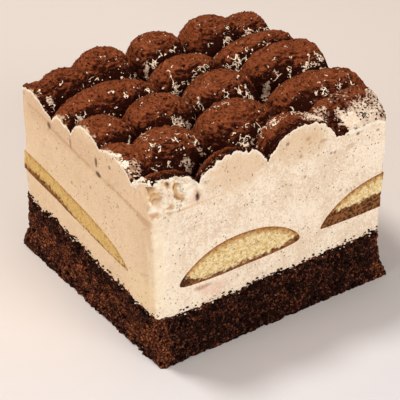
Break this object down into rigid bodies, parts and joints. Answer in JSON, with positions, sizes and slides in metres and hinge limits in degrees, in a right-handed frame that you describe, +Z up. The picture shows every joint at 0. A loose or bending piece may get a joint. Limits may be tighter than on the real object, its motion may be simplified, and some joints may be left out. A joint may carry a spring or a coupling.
{
  "type": "tiramisu portion",
  "caption": "Square-cut portion of tiramisu: dark chocolate sponge base, pale mascarpone mousse with sponge fingers laid in it, and rows of piped mousse dollops under cocoa powder.",
  "frame": {"origin": "middle of the flat underside of the sponge base", "axes": "+Z up, +X along the front cut face, which looks towards -Y and shows the two finger sections; the left cut face looks towards -X"},
  "size_m": [0.0876, 0.0815, 0.0672],
  "materials": {
    "sponge": "dry porous dark chocolate crumb",
    "finger": "dry porous pale yellow sponge with a thin brown crust",
    "mousse": "soft matte cream, cut with a knife",
    "cocoa": "piped mousse dusted with matte cocoa powder"
  },
  "bodies": {
    "root": {"chocolate_sponge": "sponge", "sponge_finger_left": "finger", "sponge_finger_front": "finger", "sponge_finger_right": "finger", "mousse_slab": "mousse", "dollop_a1": "cocoa", "dollop_a2": "cocoa", "dollop_a3": "cocoa", "dollop_a4": "cocoa", "dollop_a5": "cocoa", "dollop_b1": "cocoa", "dollop_b2": "cocoa", "dollop_b3": "cocoa", "dollop_c1": "cocoa", "dollop_c2": "cocoa", "dollop_c3": "cocoa", "dollop_c4": "cocoa", "dollop_d1": "cocoa", "dollop_d2": "cocoa", "dollop_d3": "cocoa", "dollop_e1": "cocoa", "dollop_e2": "cocoa", "dollop_e3": "cocoa", "dollop_e4": "cocoa"}
  },
  "joints": []
}
